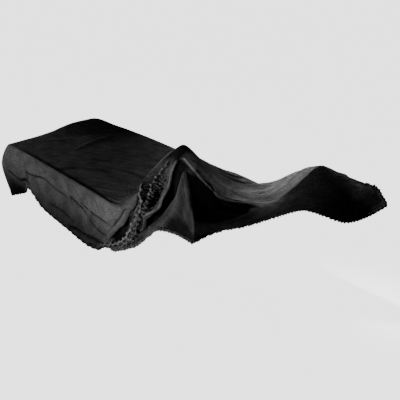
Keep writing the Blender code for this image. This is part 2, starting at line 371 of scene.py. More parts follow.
def smooth_route(points, spacing=2.0):
    """Addresses at an even spacing on a smooth line through the given ones."""
    points = np.asarray(points, float)
    at = along_line(points)
    padded = np.vstack([2 * points[0] - points[1], points, 2 * points[-1] - points[-2]])
    route = []
    for place in np.linspace(0.0, at[-1], max(int(at[-1] / spacing), 4)):
        i = int(np.clip(np.searchsorted(at, place) - 1, 0, len(points) - 2))
        t = (place - at[i]) / (at[i + 1] - at[i])
        a, b, c, d = padded[i:i + 4]
        route.append(0.5 * (2 * b + (c - a) * t + (2 * a - 5 * b + 4 * c - d) * t**2
                            + (3 * b - a - 3 * c + d) * t**3))
    return np.array(route)


print("a route along the whole panel has", len(smooth_route(((0, 0), (PANEL, 0)))), "points")

# %% [markdown]
# Layers of a pleat that touch in space can lie far apart on the flat cloth. A point is only pressed
# where it is near the route in both, so no crease prints through to the next layer.

# %% Pressing a crease
REACH = 3.2  # a crease acts as far as this many of its widths
FLAT_REACH = 40.0  # and no further than this on the flat cloth
SEARCHED = 45.0  # points within this of the route's box are looked at
SIDE_AT = 1.7  # the opposite form lies this many widths beside the crease


def press_crease(field, grid, height, width, points, side, fade):
    """Add one crease to the field of heights. side is the share of the opposite form beside it."""
    route = smooth_route(points)
    places = at_address(grid, route)
    low, high = route.min(axis=0) - SEARCHED, route.max(axis=0) + SEARCHED
    near = ((ADDRESS > low) & (ADDRESS < high)).all(axis=2)
    index = np.argwhere(near)
    address, spot = ADDRESS[near], grid[near]
    flat_gap = np.linalg.norm(address[:, None] - route[None], axis=2)
    space_gap = np.linalg.norm(spot[:, None] - places[None], axis=2)
    closest = np.argmin(space_gap + 0.3 * flat_gap, axis=1)
    rows = np.arange(len(index))
    gap = space_gap[rows, closest]
    tangent = np.gradient(route, axis=0)[closest]
    across = address - route[closest]
    sign = np.where(tangent[:, 0] * across[:, 1] - tangent[:, 1] * across[:, 0] >= 0, 1.0, -1.0)
    share = closest / (len(route) - 1)
    ends = np.clip(np.minimum(share, 1 - share) / fade, 0.0, 1.0)
    form = np.exp(-(gap / width) ** 2) - side * np.exp(-((sign * gap - SIDE_AT * width) / width) ** 2)
    use = (flat_gap[rows, closest] < FLAT_REACH) & (gap < REACH * width)
    field[index[use, 0], index[use, 1]] += (height * form * ends**2 * (3 - 2 * ends))[use]


def press_creases(where, creases, fade=0.25):
    """Press a table of creases into the cloth's relief. fade is the share of each end that fades."""
    for height, width, side, points in creases:
        press_crease(relief, cloth, height, width, points, side, fade)
    print(where, "creases:", len(creases), "deepest so far, mm:", round(relief.min(), 1))

# %% [markdown]
# ## Creases of the top panel
#
# The top lies almost flat, but the pull draws fine wrinkles over it. They start near the left edge
# and run together towards the lifted part. Only two show clearly: the near edge, which stands out a
# little, and a light ridge that crosses to the far edge.

# %% Top panel: height, width, side share, addresses
TOP_CREASES = (
    (2.4, 4.0, 0.3, ((2, -2), (100, -2), (200, -2), (300, -2), (400, -2), (432, 0))),
    (1.8, 5.0, 0.4, ((128, 84), (112, 120), (97, 165), (94, 205), (97, 240), (104, 268))),
    (1.1, 5.0, 0.3, ((10, 24), (35, 72), (47, 107), (63, 150))),
    (0.9, 4.0, 0.4, ((58, 30), (83, 56), (100, 86))),
    (-1.1, 4.5, 0.5, ((196, 2), (224, 26), (236, 48), (257, 62), (282, 78), (330, 100))),
    (1.0, 4.0, 0.5, ((131, 84), (169, 106), (209, 116), (250, 128))),
    (-1.0, 4.0, 0.5, ((186, 62), (208, 90), (224, 108), (262, 126))),
    (1.0, 4.0, 0.5, ((142, 108), (175, 123), (222, 130))),
    (0.9, 4.0, 0.5, ((198, 48), (222, 77), (237, 103), (262, 130))),
    (-0.9, 4.0, 0.5, ((272, 4), (288, 26), (316, 44))),
    (1.0, 4.0, 0.5, ((340, 20), (363, 32), (384, 44), (404, 60))),
    (-1.2, 4.0, 0.5, ((384, 4), (404, 13), (418, 22), (430, 34))),
    (-1.3, 6.0, 0.4, ((300, 110), (350, 118), (395, 124), (430, 132))),
    (1.1, 5.0, 0.4, ((310, 150), (360, 156), (405, 158), (436, 160))),
    (-1.2, 6.0, 0.4, ((250, 190), (320, 200), (385, 206), (432, 208))),
    (1.0, 6.0, 0.4, ((180, 236), (250, 246), (330, 250), (410, 248))),
    (-1.0, 6.0, 0.4, ((40, 190), (66, 214), (90, 240))),
)
press_creases("top", TOP_CREASES)

# %% [markdown]
# ## Creases of the near skirt
#
# The near skirt hangs from a taut edge and is pulled to the right below it. Long slanting folds run
# down towards the bundle.

# %% Near skirt: height, width, side share, addresses
NEAR_CREASES = (
    (-3.0, 3.0, 0.7, ((60, -62), (110, -70), (164, -60), (212, -65), (246, -63), (292, -62))),
    (-4.4, 3.4, 0.7, ((250, -52), (303, -57), (335, -62), (362, -72), (398, -78), (430, -84))),
    (-3.0, 2.8, 0.7, ((280, -46), (349, -51), (387, -50), (432, -50))),
    (-3.2, 3.2, 0.6, ((170, -101), (240, -95), (282, -98), (312, -105))),
    (2.4, 4.0, 0.5, ((68, -24), (78, -58), (84, -104))),
    (-3.6, 4.0, 0.6, ((6, -62), (29, -67), (56, -82), (84, -98), (101, -111))),
    (2.4, 4.0, 0.4, ((262, -40), (268, -54), (266, -68))),
    (2.0, 3.5, 0.4, ((347, -44), (348, -58), (350, -76))),
    (1.6, 4.0, 0.5, ((112, -32), (180, -38), (246, -40))),
    (-6.5, 4.4, 0.4, ((256, -112), (290, -107), (322, -104), (350, -102), (384, -100), (428, -104))),
)
press_creases("near", NEAR_CREASES)

# %% [markdown]
# ## Creases of the bundle and the fan
#
# Here the folds stand on edge. A bright strip turns over at the left, a dark opening lies behind its
# foot, a thin roll comes down at the right, and a black fold parts it from the fan, where the skirt
# spreads out again with hardly a crease.

# %% Bundle and fan: height, width, side share, addresses
BUNDLE_CREASES = (
    (3.0, 4.5, 0.3, ((450, 44), (442, 30), (438, 4), (439, -28), (436, -60), (432, -86))),
    (-4.0, 2.6, 0.0, ((449, 36), (434, 6), (432, -28), (430, -58), (426, -82), (429, -104))),
    (-20.0, 8.0, 0.0, ((452, -36), (454, -56), (454, -76), (448, -100))),
    (-6.0, 3.2, 0.0, ((460, 30), (453, 14), (451, -6), (452, -30), (450, -54))),
    (3.6, 2.6, 0.7, ((536, 62), (526, 48), (519, 32), (518, 4), (522, -30), (521, -64), (512, -78))),
    (-6.0, 4.2, 0.0, ((540, 116), (542, 98), (546, 78), (546, 56), (540, 38))),
    (-15.0, 4.6, 0.0, ((544, 46), (533, 26), (530, 0), (531, -30), (531, -56), (524, -78), (508, -98))),
    (-12.0, 4.4, 0.0, ((506, 40), (504, 14), (505, -16), (508, -40), (502, -56))),
    (-5.0, 3.5, 0.0, ((492, 36), (494, 10), (496, -14), (494, -32))),
)
FAN_CREASES = (
    (0.9, 5.0, 0.5, ((566, -14), (572, -50), (580, -96))),
    (-0.9, 6.0, 0.5, ((600, -10), (604, -50), (606, -90))),
    (1.4, 5.0, 0.4, ((640, -6), (640, -44), (634, -84))),
)
press_creases("bundle and fan", BUNDLE_CREASES + FAN_CREASES, fade=0.15)

# %% [markdown]
# ## Creases of the lip and the far slope
#
# To the right of the fan the top drops into the hollow and rolls up in a lip, with a small dark
# pocket above it. The far slope has soft folds that run up to the far edge.

# %% Lip and far slope: height, width, side share, addresses
LIP_ROUTE = ((545, 118), (556, 116), (566, 117), (578, 129), (590, 138), (615, 138), (640, 138),
             (668, 139), (688, 140))
LIP_CREASES = (
    (2.6, 3.0, 0.5, LIP_ROUTE),
    (-9.0, 5.5, 0.0, ((562, 130), (570, 141), (576, 147), (582, 151), (592, 152))),
    (2.2, 2.6, 0.8, ((553, 128), (563, 157), (571, 167), (582, 174), (627, 169), (660, 156))),
    (-1.8, 4.0, 0.5, ((500, 196), (507, 206), (506, 222), (500, 244))),
    (1.8, 4.0, 0.5, ((560, 188), (549, 200), (541, 216), (550, 232))),
    (-1.8, 4.0, 0.5, ((526, 190), (524, 208), (528, 226), (522, 250))),
    (-1.6, 5.0, 0.4, ((600, 196), (590, 214), (588, 240), (596, 262))),
    (1.8, 5.0, 0.4, ((640, 190), (630, 214), (628, 244), (640, 268))),
)
press_creases("lip and far slope", LIP_CREASES, fade=0.15)

# %% [markdown]
# ## Folds of the far skirt and the raised corner
#
# Under the raised corner the far skirt spreads like a curtain. Its folds hang from the held point and
# open towards the hem, so their lines start close together.

# %% Far skirt and flap: height, width, side share, addresses
FLAP_CREASES = (
    (2.4, 5.0, 0.6, ((684, 300), (672, 330), (652, 360), (626, 388))),
    (-2.2, 5.0, 0.5, ((686, 304), (684, 334), (676, 362), (660, 390))),
    (2.2, 5.0, 0.5, ((687, 310), (687, 340), (684, 366), (680, 391))),
    (-2.0, 6.0, 0.4, ((664, 284), (640, 312), (604, 342), (570, 372))),
    (2.0, 6.0, 0.4, ((648, 282), (612, 308), (572, 334), (536, 360))),
    (-1.6, 7.0, 0.4, ((150, 300), (156, 340), (150, 384))),
    (1.6, 7.0, 0.4, ((330, 296), (336, 340), (330, 386))),
    (-1.6, 7.0, 0.4, ((420, 296), (436, 336), (450, 380))),
)
press_creases("far", FLAP_CREASES)

# %% [markdown]
# ## Painted shade of the closed folds
#
# The shade that falls into closed folds is painted into the cloth's colour. So each point keeps a
# number for how deep in a fold it lies, and the material darkens by it. It comes from the creases
# pressed so far and from six zones where shade is painted: the hollow, the lower right end of the
# near skirt, the peak's cap, the fold beside the fan, the foot of the bundle and its opening.

# %% How deep in a fold, for the painted shade
BLACK_FROM = 2.2  # a crease this deep, in millimetres, is as black as a fold gets
# Zones where shade is painted into the colour
PAINTED_SHADE_ZONES = (  # along from, to; across from, to; soft border; strength
    (554.0, 720.0, 2.0, 124.0, 10.0, 1.0),
    (572.0, 720.0, -140.0, -64.0, 16.0, 0.85),
    (462.0, 548.0, 104.0, 160.0, 14.0, 0.94),
    (532.0, 562.0, -14.0, 112.0, 7.0, 0.95),
    (466.0, 540.0, -128.0, -46.0, 9.0, 0.5),
    (443.0, 469.0, -108.0, -26.0, 6.0, 1.0),
)


def within(values, low, high, soft):
    """1 between low and high, and falling to 0 at both over the soft border."""
    return np.clip(np.minimum(values - low, high - values) / soft, 0.0, 1.0)


# Painted shade: crease depth and the shaded zones darken the colour at each point
along, across = ADDRESS[:, :, 0], ADDRESS[:, :, 1]
painted_fold_shade = np.clip(-relief / BLACK_FROM, 0.0, 1.0) ** 1.2
for left, right, near, far, soft, strength in PAINTED_SHADE_ZONES:
    zone = within(along, left, right, soft) * within(across, near, far, soft)
    painted_fold_shade = np.maximum(painted_fold_shade, strength * zone)
print("share of points in a closed fold:", round((painted_fold_shade > 0.5).mean(), 3))

# %% [markdown]
# ## The elastic hem
#
# The hem is the cloth's own edge, turned under over an elastic and sewn down. It is a little thicker
# than the skirt, with a groove where the stitches draw it in. The elastic puckers it all round, and
# the puckers fade out a few centimetres above the stitches.

# %% Hem relief
HEM_WIDTH = 9.0
HEM_PROUD = 0.7  # how far the turned hem stands out, and the depth of the groove beside it
PUCKER = 6.5  # from one pucker to the next
PUCKER_HEIGHT = 0.9
PUCKER_FADE = 13.0


def hem_relief(from_edge, along):
    """Height of the turned hem, its groove and its uneven puckers."""
    band = HEM_PROUD / (1 + np.exp((from_edge - HEM_WIDTH) * 2.2))
    groove = HEM_PROUD * np.exp(-(from_edge - HEM_WIDTH - 0.6) ** 2)
    uneven = 1.4 * np.sin(along / 17.0) + 0.9 * np.sin(along / 7.3)
    swing = np.sin(2 * np.pi * along / PUCKER + uneven)
    strength = 0.65 + 0.35 * np.sin(along / 31.0)
    return band - groove + PUCKER_HEIGHT * strength * swing * np.exp(-from_edge / PUCKER_FADE)


relief += np.where(across < 0, hem_relief(across + SKIRT, along), 0.0)
relief += np.where(across > DEPTH, hem_relief(DEPTH + SKIRT - across, along), 0.0)
cloth += normal * relief[:, :, None]
print("relief, mm:", round(relief.min(), 1), "to", round(relief.max(), 1))

# %% [markdown]
# ## End skirts
#
# Each end skirt is a sheet between the end of the top panel and its own hem. Its sides are pulled
# onto the corners of the long skirts, where they are sewn together, and a bulge keeps it from hanging
# as flat as a board.

# %% End skirts
CORNER_PULL = 4  # power by which an end skirt keeps its own form away from its corners
CORNER_SHARE = 0.06  # of its width, in which the hem's relief fades towards a corner
LEFT_BULGE = -12.0
RIGHT_BULGE = 6.0


def end_skirt(edge, near_corner, far_corner, hem_table, bulge, outwards):
    """An end skirt as a grid of points: rows from the panel's end to the hem."""
    hem = line_points(hem_table, TOP_ACROSS)
    side = np.linspace(0.0, 1.0, len(edge))[:, None]
    inner = np.minimum(np.minimum(side, 1 - side) / CORNER_SHARE, 1.0)[:, 0]
    rows = []
    for k, drop in enumerate(DROP):
        share = drop / SKIRT
        row = edge * (1 - share) + hem * share
        row[:, 0] += bulge * np.sin(np.pi * share)
        row += (1 - side) ** CORNER_PULL * (near_corner[k] - row[0])
        row += side ** CORNER_PULL * (far_corner[k] - row[-1])
        row[:, 0] += outwards * inner * hem_relief(SKIRT - drop, TOP_ACROSS) * min(share * 4, 1.0)
        rows.append(row)
    return np.array(rows)


top_rows = slice(SKIRT_ROWS, len(ACROSS) - SKIRT_ROWS)
left_skirt = end_skirt(cloth[0, top_rows], cloth[0, SKIRT_ROWS::-1], cloth[0, -SKIRT_ROWS - 1:],
                       LEFT_HEM, LEFT_BULGE, -1.0)
right_skirt = end_skirt(cloth[-1, top_rows], cloth[-1, SKIRT_ROWS::-1], cloth[-1, -SKIRT_ROWS - 1:],
                        RIGHT_HEM, RIGHT_BULGE, 1.0)
print("end skirts:", left_skirt.shape[:2], right_skirt.shape[:2])

# %% [markdown]
# ## From grids to one mesh
#
# A grid becomes faces, and each face keeps its address in a UV map, in metres, so the knit runs over
# the corners without a break and at its true size. A mesh attribute carries the painted shade of the
# folds.
# Solidify gives a sheet the thickness of the knit.

# %% Faces, pieces and thickness
def add_patch(shape, uv, grid, addresses, depths=None):
    """Add a grid of points as faces, with the addresses as UVs and each point's painted fold shade."""
    corners = [[shape.verts.new((point - HELD_AT) * MM) for point in row] for row in grid]
    if depths is not None:
        layer = shape.verts.layers.float["painted_shade_depth"]
        for row, values in zip(corners, depths):
            for corner, value in zip(row, values):
                corner[layer] = float(value)
    for i in range(len(corners) - 1):
        for j in range(len(corners[0]) - 1):
            ring = ((i, j), (i + 1, j), (i + 1, j + 1), (i, j + 1))
            face = shape.faces.new([corners[a][b] for a, b in ring])
            for loop, (a, b) in zip(face.loops, ring):
                loop[uv].uv = addresses[a, b] * MM


def add_piece(name, shape):
    """Turn a mesh that is being built into a smooth object of the scene."""
    mesh = bpy.data.meshes.new(name)
    shape.to_mesh(mesh)
    shape.free()
    mesh.shade_smooth()
    piece = bpy.data.objects.new(name, mesh)
    bpy.context.scene.collection.objects.link(piece)
    print(name, "faces:", len(mesh.polygons))
    return piece


def thicken(piece):
    """Give a sheet the thickness of the knit, half of it on each side."""
    wall = piece.modifiers.new("knit thickness", "SOLIDIFY")
    wall.thickness = KNIT * MM
    wall.offset = 0.0


# %% [markdown]
# The top with its two long skirts is one grid, and each end skirt is another. They are welded along
# their shared edges, and the outside is made to face out.

# %% The sheet
shape = bmesh.new()
shape.verts.layers.float.new("painted_shade_depth")
uv = shape.loops.layers.uv.new("flat_cloth")
add_patch(shape, uv, cloth, ADDRESS, painted_fold_shade)
add_patch(shape, uv, left_skirt, address_grid(-DROP, TOP_ACROSS))
add_patch(shape, uv, right_skirt, address_grid(PANEL + DROP, TOP_ACROSS))
bmesh.ops.remove_doubles(shape, verts=shape.verts, dist=0.05 * MM)
bmesh.ops.recalc_face_normals(shape, faces=shape.faces)
if max(shape.faces, key=lambda face: face.calc_center_median().z).normal.z < 0:
    bmesh.ops.reverse_faces(shape, faces=shape.faces)
sheet = add_piece("cover_sheet", shape)
thicken(sheet)

# %% [markdown]
# ## Rolled folds and gathered hem
#
# Where the knit is drawn up it rolls over on itself: a broad strip at the left of the bundle, a thin
# roll at its right and another along the lip. The drawn-up hem between them shows as chains of tight
# puckers. All of these are swept rings of cloth that lie half in the sheet, so no edge of theirs is
# seen.

# %% Rings of cloth
ROLL_SIDES = 10


def ring_mesh(name, centres, out, half_width, half_height, swell, swing, closed=False):
    """An object made of rings swept along a line of centres."""
    forward = unit(np.gradient(centres, axis=0))
    sideways = unit(np.cross(forward, out))
    up = np.cross(sideways, forward)
    ring = []
    for k in range(ROLL_SIDES):
        angle = 2 * np.pi * k / ROLL_SIDES
        ring.append(centres + sideways * (math.cos(angle) * half_width * swell + swing)[:, None]
                    + up * (math.sin(angle) * half_height * swell)[:, None])
    rings = np.array(ring).transpose(1, 0, 2)
    roll = bmesh.new()
    corners = [[roll.verts.new((point - HELD_AT) * MM) for point in loop] for loop in rings]
    for i in range(len(corners) - (0 if closed else 1)):
        for k in range(ROLL_SIDES):
            n, m = (i + 1) % len(corners), (k + 1) % ROLL_SIDES
            roll.faces.new((corners[i][k], corners[i][m], corners[n][m], corners[n][k]))
    if not closed:
        roll.faces.new(corners[0])
        roll.faces.new(corners[-1][::-1])
    bmesh.ops.recalc_face_normals(roll, faces=roll.faces)
    return add_piece(name, roll)


# %% [markdown]
# A roll follows a route on the sheet, a little above it, and its line is evened out first, because
# the surface below has kinks. A puckered roll swells, shrinks and sways from pucker to pucker, and
# every roll thins out at both ends.

# %% A roll along a route
ROLL_STEP = 0.8  # between rings of a roll
ROLL_EVENING = 120  # passes that take kinks out of its line


def evened(points):
    """The points with the small kinks of the surface below taken out; both ends stay."""
    points = points.copy()
    for _ in range(ROLL_EVENING):
        points[1:-1] = (points[:-2] + 2 * points[1:-1] + points[2:]) / 4
    return points


def swept_roll(name, half_width, half_height, pucker, spacing, sway, lift, points):
    """A roll of cloth along a route on the sheet, smooth or puckered."""
    route = smooth_route(points, ROLL_STEP)
    centres = evened(at_address(cloth + normal * lift, route))
    travelled = along_line(centres)
    phase = 2 * np.pi * travelled / spacing
    swell = 1 - pucker + pucker * np.sin(phase + 0.8 * np.sin(travelled / 9.0))
    swell *= np.clip(np.minimum(travelled, travelled[-1] - travelled) / (2 * half_width), 0.05, 1.0)
    return ring_mesh(name, centres, evened(at_address(normal, route)), half_width, half_height, swell,
                     sway * np.sin(phase / 2 + 0.6))


# %% Rolls and chains
ROLLS = (  # name, half width and height, pucker depth and spacing, sway, lift, addresses
    ("turned_strip", 6.0, 4.5, 0.06, 23.0, 0.0, 2.6,
     ((458, 40), (447, 30), (442, 6), (442, -28), (440, -58), (435, -82), (441, -102))),
    ("thin_roll", 2.8, 2.8, 0.05, 17.0, 0.0, 3.4,
     ((529, 112), (530, 96), (534, 76), (532, 56), (526, 44), (520, 30), (518, 4), (521, -30),
      (519, -50), (512, -64))),
    ("lip_roll", 2.4, 2.4, 0.05, 19.0, 0.0, 1.6, LIP_ROUTE),
    ("gathered_hem_left", 3.3, 3.3, 0.36, 9.5, 1.4, 4.0,
     ((467, 66), (465, 30), (466, 0), (469, -22), (473, -35), (471, -48), (470, -62), (468, -78),
      (462, -94), (450, -106), (434, -111), (412, -112), (384, -113), (352, -113))),
    ("gathered_hem_right", 2.8, 2.8, 0.36, 8.4, 1.2, 4.0,
     ((486, 104), (480, 84), (477, 58), (475, 23), (474, 1), (476, -14), (478, -28), (476, -40))),
    ("gathered_hem_foot", 2.8, 2.8, 0.36, 8.8, 1.4, 2.8,
     ((482, -42), (488, -60), (489, -80), (484, -98), (472, -112))),
    ("gathered_hem_toe", 2.6, 2.6, 0.36, 8.0, 1.2, 2.4,
     ((506, -58), (512, -76), (512, -94), (502, -113))),
    ("gathered_hem_end", 2.8, 2.8, 0.30, 8.0, 0.8, 2.8,
     ((512, -64), (500, -52), (488, -45), (476, -44))),
)
rolls = [swept_roll(*row) for row in ROLLS]

# %% [markdown]
# ## Shirred cloth
#
# Between the chains the relaxed elastic draws the cloth into short waves. They are too fine for the
# sheet's own grid, so a fine patch over the sheet carries them. It sinks into the sheet all round, so
# that its border doesn't show, and keeps clear of the dark opening at the foot of the strip.

# %% Addresses of the shirred cloth
SHIRRED = (459.0, 514.0, -112.0, 112.0)  # along from, to; across from, to
PATCH_POINTS = (84, 250)
OPENING_TOP = -34.0  # across, where the opening beside the strip begins
OPENING_FADE = 20.0
ASIDE = 12.0  # beside the opening the patch starts this much further right
left, right, low, high = SHIRRED
patch = address_grid(np.linspace(left, right, PATCH_POINTS[0]),
                     np.linspace(low, high, PATCH_POINTS[1]))
aside = ASIDE * np.clip((OPENING_TOP - patch[:, :, 1]) / OPENING_FADE, 0.0, 1.0)
patch[:, :, 0] += aside * (right - patch[:, :, 0]) / (right - left)
patch_along, patch_across = patch[:, :, 0], patch[:, :, 1]
u = (patch_along - left - aside) / (right - left - aside)
v = (patch_across - low) / (high - low)
print("shirred patch:", patch.shape[:2])

# %% [markdown]
# The waves are the sum of two, one across the patch and a weaker one along it. Each is bent by slow
# waves of its own, so no two puckers are alike. Shade is painted into the colour: troughs are darker
# than crests, and the foot of the bundle is darker than the rest.

# %% Waves of the shirred cloth
SHIRR_PITCH = 9.5
SHIRR_HEIGHT = 3.0
PATCH_LIFT, PATCH_SUNK = 1.6, 2.0  # its middle above the sheet, and its border below it
border = np.clip(np.minimum(np.minimum(u, 1 - u) * 6, np.minimum(v * 8, (1 - v) * 3.5)), 0.0, 1.0)
border = border**2 * (3 - 2 * border)
bends = 2.2 * np.sin(patch_along / 4.1) + 1.5 * np.sin(patch_across / 13.0)
cross_bends = 2.4 * np.sin(patch_across / 6.3) + patch_across / 17.0
wave = (0.65 * np.sin(2 * np.pi * patch_across / SHIRR_PITCH + bends)
        + 0.45 * np.sin(patch_along / 1.9 + cross_bends))
stand = (PATCH_LIFT + SHIRR_HEIGHT * wave) * border - PATCH_SUNK * (1 - border)
# Painted shade of the shirred cloth: darker in the troughs and towards the foot of the bundle
shade = np.interp(patch_across, (-50.0, -10.0), (0.95, 0.55))
patch_painted_shade = (np.clip(shade - 1.1 * wave, 0.1, 1.0)
                 * np.clip(np.minimum((1 - u) * 6, (1 - v) * 4), 0.0, 1.0))
print("puckers stand, mm:", round(stand.min(), 1), "to", round(stand.max(), 1))

# %% Shirred cloth between the chains
flat_patch = patch.reshape(-1, 2)
patch_points = (at_address(cloth, flat_patch)
                + at_address(normal, flat_patch) * stand.reshape(-1, 1)).reshape(patch.shape[:2] + (3,))
shirr = bmesh.new()
shirr.verts.layers.float.new("painted_shade_depth")
add_patch(shirr, shirr.loops.layers.uv.new("flat_cloth"), patch_points, patch, patch_painted_shade)
bmesh.ops.recalc_face_normals(shirr, faces=shirr.faces)
shirred = add_piece("shirred_cloth", shirr)
thicken(shirred)
rolls.append(shirred)

# %% [markdown]
# ## Hem band
#
# The hem band is swept like the rolls, on the line where the sheet ends, and is taller than it is
# thick. Its puckers are closer than the sheet's faces, which is why it is a piece of its own. First
# its line and the way in from the edge are read off the sheet, and evened out at the corners.

# %% Line of the hem
HEM_STEP = 1.3  # between rings of the band
hem_line = np.vstack([cloth[:, 0], right_skirt[-1, 1:], cloth[-2::-1, -1], left_skirt[-1, -2:0:-1]])
hem_inner = np.vstack([cloth[:, 4], right_skirt[-5, 1:], cloth[-2::-1, -5], left_skirt[-5, -2:0:-1]])
closed_line = np.vstack([hem_line, hem_line[:1]])
closed_inner = np.vstack([hem_inner, hem_inner[:1]])
reach = along_line(closed_line)
ring_count = int(reach[-1] / HEM_STEP)
spots = np.arange(ring_count) * reach[-1] / ring_count
band = np.stack([np.interp(spots, reach, closed_line[:, k]) for k in range(3)], axis=1)
inward = unit(np.stack([np.interp(spots, reach, closed_inner[:, k]) for k in range(3)], axis=1) - band)
for _ in range(6):  # enough to round the corners
    band = (np.roll(band, 1, axis=0) + 2 * band + np.roll(band, -1, axis=0)) / 4
    inward = (np.roll(inward, 1, axis=0) + 2 * inward + np.roll(inward, -1, axis=0)) / 4
inward = unit(inward)
beside = unit(np.cross(np.gradient(band, axis=0), inward))
print("hem, mm:", round(reach[-1]), "rings:", ring_count)

# %% [markdown]
# The band has a whole number of puckers, so that it closes without a jump. They vary in spacing and
# height, and the band weaves to both sides of its line.

# %% Hem band
HEM_HALF = (3.4, 1.7)  # half its height and half its thickness
HEM_IN = 2.0  # its middle lies this far in from the edge of the sheet
puckers = round(reach[-1] / PUCKER)
uneven = (2.2 * np.sin(spots / 17.0) + 1.1 * np.sin(spots / 6.1)) * np.sin(np.pi * spots / reach[-1])
phase = 2 * np.pi * puckers * spots / reach[-1] + uneven
band_swell = 0.86 + (0.14 + 0.08 * np.sin(spots / 23.0)) * np.sin(phase)
band += inward * HEM_IN + beside * (0.7 * np.sin(phase + 1.0) + 0.8 * np.sin(phase / 3))[:, None]
hem_band = ring_mesh("elastic_hem_band", band, beside, HEM_HALF[0], HEM_HALF[1], band_swell,
                     0.5 * np.sin(phase), closed=True)
rolls.append(hem_band)
print("puckers:", puckers)

# %% [markdown]
# ## Black stretch knit
#
# The knit is matt and almost black, with wales about a millimetre apart that only show from close by.
# Its pattern is a node group, which reads addresses in metres and gives out three values: Height is
# the loops of the knit, Tone its lint and wear, and Drag the fine wrinkles of the pull.

# %% Node helpers
def fill(tree, node, **values):
    """Set inputs of a node by name; an output given as the value is linked instead."""
    for key, value in values.items():
        socket = node.inputs[key.replace("_", " ")]
        if isinstance(value, bpy.types.NodeSocket):
            tree.links.new(value, socket)
        else:
            socket.default_value = value
    return node


def new_node(tree, kind, **values):
    """Add a node and fill its inputs."""
    return fill(tree, tree.nodes.new(kind), **values)


def maths(tree, operation, first, second):
    """A Math node; each operand is a number or an output to link."""
    node = tree.nodes.new("ShaderNodeMath")
    node.operation = operation
    for socket, value in zip(node.inputs, (first, second)):
        if isinstance(value, (int, float)):
            socket.default_value = value
        else:
            tree.links.new(value, socket)
    return node.outputs[0]


# %% Inputs and outputs of the knit pattern
knit = bpy.data.node_groups.new("knit_pattern", "ShaderNodeTree")
knit.interface.new_socket("Vector", in_out="INPUT", socket_type="NodeSocketVector")
for name in ("Wale", "Course"):
    knit.interface.new_socket(name, in_out="INPUT", socket_type="NodeSocketFloat")
for name in ("Height", "Tone", "Drag"):
    knit.interface.new_socket(name, in_out="OUTPUT", socket_type="NodeSocketFloat")
group_in = new_node(knit, "NodeGroupInput")
group_out = new_node(knit, "NodeGroupOutput")
split = new_node(knit, "ShaderNodeSeparateXYZ", Vector=group_in.outputs["Vector"])
x, y = split.outputs["X"], split.outputs["Y"]
print("knit sockets:", [item.name for item in knit.interface.items_tree])

# %% [markdown]
# Wales are a knit's upright ribs, and courses its rows. The rows step up and down from wale to wale,
# which makes the small V of a knitted loop.

# %% Loops of the knit
across_wales = maths(knit, "DIVIDE", x, group_in.outputs["Wale"])
up_courses = maths(knit, "DIVIDE", y, group_in.outputs["Course"])
loop_phase = maths(knit, "ADD", up_courses, maths(knit, "PINGPONG", across_wales, 0.5))
loops_wave = maths(knit, "SINE", maths(knit, "MULTIPLY", loop_phase, 2 * math.pi), 0.0)
wales_wave = maths(knit, "COSINE", maths(knit, "MULTIPLY", across_wales, 2 * math.pi), 0.0)
both = maths(knit, "ADD", maths(knit, "MULTIPLY", loops_wave, 0.25),
             maths(knit, "MULTIPLY", wales_wave, 0.25))
fill(knit, group_out, Height=maths(knit, "ADD", both, 0.5))
print("nodes so far:", len(knit.nodes))

# %% [markdown]
# The tone is a broad cloudy noise with a fine mottled one. The wrinkles are a noise stretched out
# along the cover. It leans one way on the top panel and the other way on the near skirt, as both are
# drawn towards the bundle.

# %% Tone and drag
LEAN_TOP, LEAN_SKIRT = 0.45, -0.25  # how far across a wrinkle runs for each length along
FINE_ALONG, FINE_ACROSS = 12.0, 90.0
address = group_in.outputs["Vector"]
cloudy = new_node(knit, "ShaderNodeTexNoise", Vector=address, Scale=34.0, Detail=5.0, Roughness=0.6)
mottled = new_node(knit, "ShaderNodeTexNoise", Vector=address, Scale=300.0, Detail=3.0, Roughness=0.7)
fill(knit, group_out, Tone=maths(knit, "ADD", maths(knit, "MULTIPLY", cloudy.outputs["Fac"], 0.45),
                                 maths(knit, "MULTIPLY", mottled.outputs["Fac"], 0.55)))
on_top = maths(knit, "GREATER_THAN", y, 0.0)
lean = maths(knit, "ADD", maths(knit, "MULTIPLY", on_top, LEAN_TOP - LEAN_SKIRT), LEAN_SKIRT)
leant = maths(knit, "SUBTRACT", y, maths(knit, "MULTIPLY", x, lean))
pull = new_node(knit, "ShaderNodeCombineXYZ", X=maths(knit, "MULTIPLY", x, FINE_ALONG),
                Y=maths(knit, "MULTIPLY", leant, FINE_ACROSS))
drag = new_node(knit, "ShaderNodeTexNoise", Vector=pull.outputs["Vector"], Scale=1.0, Detail=4.0,
                Roughness=0.55, Distortion=0.4)
fill(knit, group_out, Drag=drag.outputs["Fac"])
print("knit group nodes:", len(knit.nodes))

# %% [markdown]
# ## The cloth materials
#
# Four materials share the pattern and differ in tone and gauge. The sheet and the shirred cloth read
# the address map and darken by the painted shade of the folds. The turned strip is smooth, rolled cloth
# is lighter, painted light for the light that the rolls catch, and the elastic hem is knitted tighter.
# Specular and sheen are kept very low, because so dark a cloth turns grey wherever light grazes it.

# %% A knit material
FACTOR, FIRST, SECOND = 0, 6, 7  # sockets of a Mix node that is set to colours
# the black that the painted shade of the folds mixes towards
PAINTED_SHADE_BLACK = (0.0012, 0.0012, 0.0012, 1.0)


def paint_fold_shade(tree, colour):
    """Mix the colour towards black by the painted shade of the folds that the mesh carries."""
    depth = tree.nodes.new("ShaderNodeAttribute")
    depth.attribute_name = "painted_shade_depth"
    shade = tree.nodes.new("ShaderNodeMix")
    shade.data_type = "RGBA"
    shade.inputs[SECOND].default_value = PAINTED_SHADE_BLACK
    tree.links.new(depth.outputs["Fac"], shade.inputs[FACTOR])
    tree.links.new(colour, shade.inputs[FIRST])
    return shade.outputs[2]


